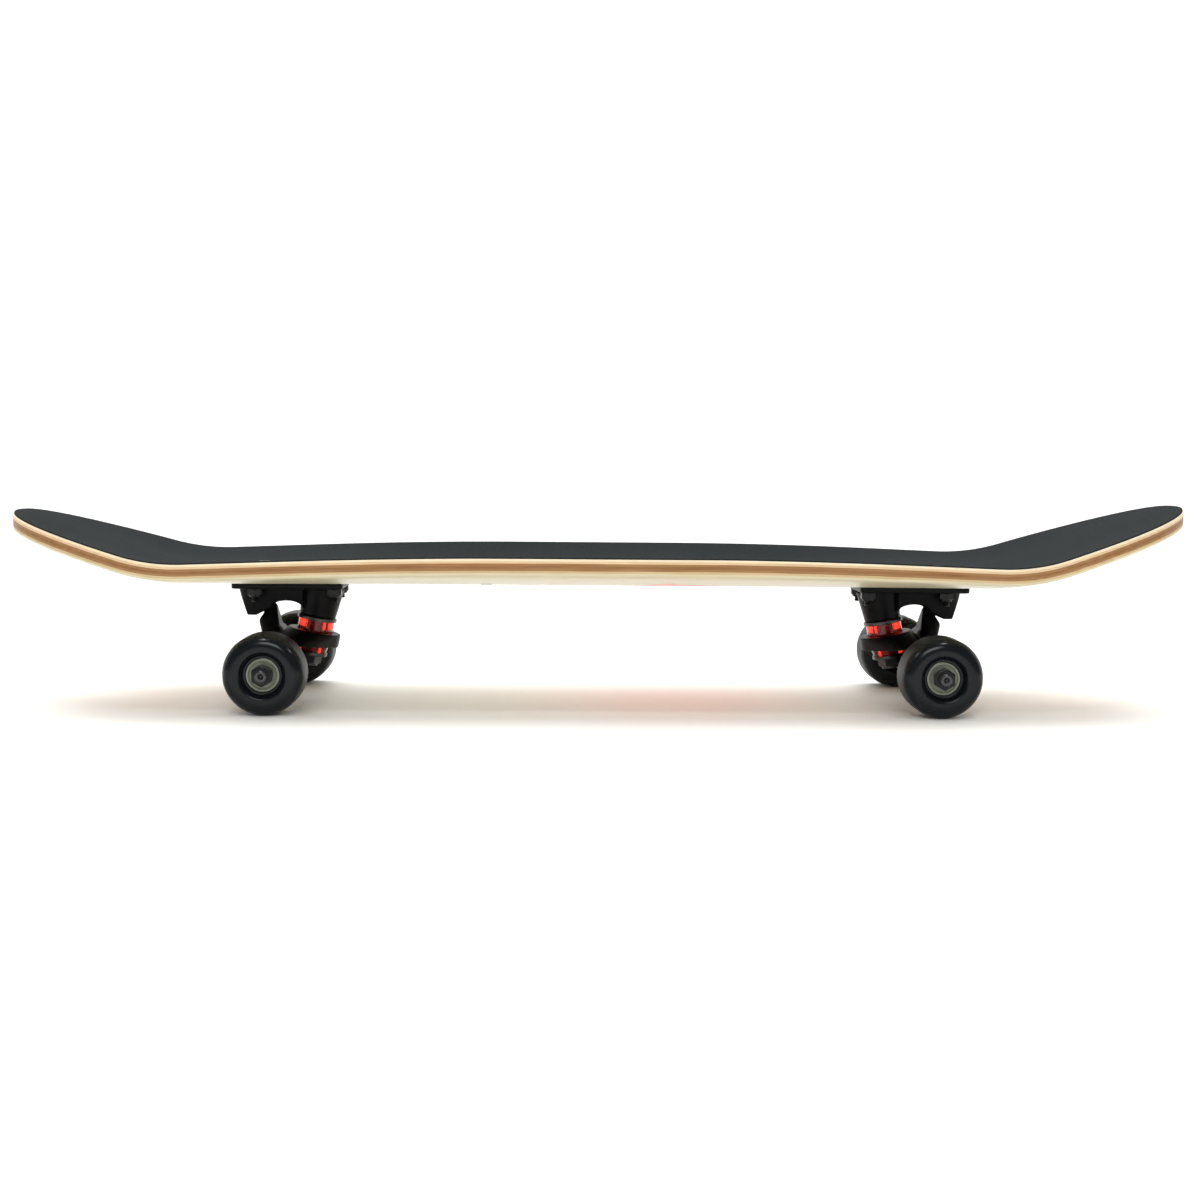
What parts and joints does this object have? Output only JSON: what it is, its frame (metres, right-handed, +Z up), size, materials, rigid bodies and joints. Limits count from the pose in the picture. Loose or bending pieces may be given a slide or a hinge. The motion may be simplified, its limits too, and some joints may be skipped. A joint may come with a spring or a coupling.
{
  "type": "skateboard",
  "caption": "Street skateboard with a laminated kicktail deck, grip tape, kingpin trucks that steer as they lean, and urethane wheels on ball bearings.",
  "frame": {"origin": "on the ground under the middle of the deck", "axes": "+X towards the nose, +Y to the left side, +Z up; the board stands on its wheels"},
  "size_m": [0.8, 0.2032, 0.1378],
  "materials": {
    "deck_wood": "clear lacquered maple veneer with an orange leaf graphic below",
    "grip_tape": "coarse black abrasive grit",
    "black_hardware": "black oxide",
    "truck_black": "satin black paint on cast aluminium",
    "pivot_urethane": "matt moulded urethane",
    "axle_steel": "turned steel",
    "kingpin_steel": "dark plated steel",
    "bushing_urethane": "glossy translucent red urethane",
    "wheel_urethane": "glossy black cast urethane",
    "bearing_steel": "ground bearing steel",
    "bearing_shield": "pressed steel with a greenish grey tint",
    "bearing_cage": "stamped cage"
  },
  "bodies": {
    "board": {"deck": "deck_wood", "grip_tape": "grip_tape", "front_mounting_bolts": "black_hardware", "front_mounting_nuts": "black_hardware", "front_baseplate": "truck_black", "front_pivot_cup": "pivot_urethane", "front_kingpin": "kingpin_steel", "front_kingpin_nut": "kingpin_steel", "front_boardside_bushing": "bushing_urethane", "front_roadside_bushing": "bushing_urethane", "front_boardside_washer": "kingpin_steel", "front_roadside_washer": "kingpin_steel", "rear_mounting_bolts": "black_hardware", "rear_mounting_nuts": "black_hardware", "rear_baseplate": "truck_black", "rear_pivot_cup": "pivot_urethane", "rear_kingpin": "kingpin_steel", "rear_kingpin_nut": "kingpin_steel", "rear_boardside_bushing": "bushing_urethane", "rear_roadside_bushing": "bushing_urethane", "rear_boardside_washer": "kingpin_steel", "rear_roadside_washer": "kingpin_steel"},
    "front_steering": {"front_hanger": "truck_black", "front_axle": "axle_steel", "front_bearing_spacers": "axle_steel", "front_speed_washers": "axle_steel", "front_axle_nuts": "black_hardware", "front_left_inner_races": "bearing_steel", "front_right_inner_races": "bearing_steel"},
    "rear_steering": {"rear_hanger": "truck_black", "rear_axle": "axle_steel", "rear_bearing_spacers": "axle_steel", "rear_speed_washers": "axle_steel", "rear_axle_nuts": "black_hardware", "rear_left_inner_races": "bearing_steel", "rear_right_inner_races": "bearing_steel"},
    "front_left_rolling": {"front_left_wheel": "wheel_urethane", "front_left_outer_races": "bearing_steel", "front_left_bearing_shields": "bearing_shield"},
    "front_left_ball_sets": {"front_left_bearing_balls": "bearing_steel", "front_left_ball_cages": "bearing_cage"},
    "front_right_rolling": {"front_right_wheel": "wheel_urethane", "front_right_outer_races": "bearing_steel", "front_right_bearing_shields": "bearing_shield"},
    "front_right_ball_sets": {"front_right_bearing_balls": "bearing_steel", "front_right_ball_cages": "bearing_cage"},
    "rear_left_rolling": {"rear_left_wheel": "wheel_urethane", "rear_left_outer_races": "bearing_steel", "rear_left_bearing_shields": "bearing_shield"},
    "rear_left_ball_sets": {"rear_left_bearing_balls": "bearing_steel", "rear_left_ball_cages": "bearing_cage"},
    "rear_right_rolling": {"rear_right_wheel": "wheel_urethane", "rear_right_outer_races": "bearing_steel", "rear_right_bearing_shields": "bearing_shield"},
    "rear_right_ball_sets": {"rear_right_bearing_balls": "bearing_steel", "rear_right_ball_cages": "bearing_cage"}
  },
  "joints": [
    {"name": "front_steer", "type": "hinge", "parent": "board", "child": "front_steering", "pos_m": [0.1995, 0, 0.0425], "axis": [0.8387, 0, 0.5446], "range_deg": [-10, 10], "stiffness_Nm_per_rad": 60, "deforming": ["front_boardside_bushing", "front_roadside_bushing"]},
    {"name": "rear_steer", "type": "hinge", "parent": "board", "child": "rear_steering", "pos_m": [-0.1995, 0, 0.0425], "axis": [-0.8387, 0, 0.5446], "range_deg": [-10, 10], "stiffness_Nm_per_rad": 60, "deforming": ["rear_boardside_bushing", "rear_roadside_bushing"]},
    {"name": "front_left_wheel_spin", "type": "hinge", "parent": "front_steering", "child": "front_left_rolling", "pos_m": [0.2206, 0.07948, 0.0265], "axis": [0, 1, 0], "continuous": true},
    {"name": "front_left_ball_spin", "type": "hinge", "parent": "front_steering", "child": "front_left_ball_sets", "pos_m": [0.2206, 0.07948, 0.0265], "axis": [0, 1, 0], "continuous": true},
    {"name": "front_right_wheel_spin", "type": "hinge", "parent": "front_steering", "child": "front_right_rolling", "pos_m": [0.2206, -0.07948, 0.0265], "axis": [0, 1, 0], "continuous": true},
    {"name": "front_right_ball_spin", "type": "hinge", "parent": "front_steering", "child": "front_right_ball_sets", "pos_m": [0.2206, -0.07948, 0.0265], "axis": [0, 1, 0], "continuous": true},
    {"name": "rear_left_wheel_spin", "type": "hinge", "parent": "rear_steering", "child": "rear_left_rolling", "pos_m": [-0.2206, 0.07948, 0.0265], "axis": [0, 1, 0], "continuous": true},
    {"name": "rear_left_ball_spin", "type": "hinge", "parent": "rear_steering", "child": "rear_left_ball_sets", "pos_m": [-0.2206, 0.07948, 0.0265], "axis": [0, 1, 0], "continuous": true},
    {"name": "rear_right_wheel_spin", "type": "hinge", "parent": "rear_steering", "child": "rear_right_rolling", "pos_m": [-0.2206, -0.07948, 0.0265], "axis": [0, 1, 0], "continuous": true},
    {"name": "rear_right_ball_spin", "type": "hinge", "parent": "rear_steering", "child": "rear_right_ball_sets", "pos_m": [-0.2206, -0.07948, 0.0265], "axis": [0, 1, 0], "continuous": true}
  ],
  "couplings": [
    {"joint": "front_left_ball_spin", "follows": "front_left_wheel_spin", "ratio": 0.6323},
    {"joint": "front_right_ball_spin", "follows": "front_right_wheel_spin", "ratio": 0.6323},
    {"joint": "rear_left_ball_spin", "follows": "rear_left_wheel_spin", "ratio": 0.6323},
    {"joint": "rear_right_ball_spin", "follows": "rear_right_wheel_spin", "ratio": 0.6323}
  ]
}
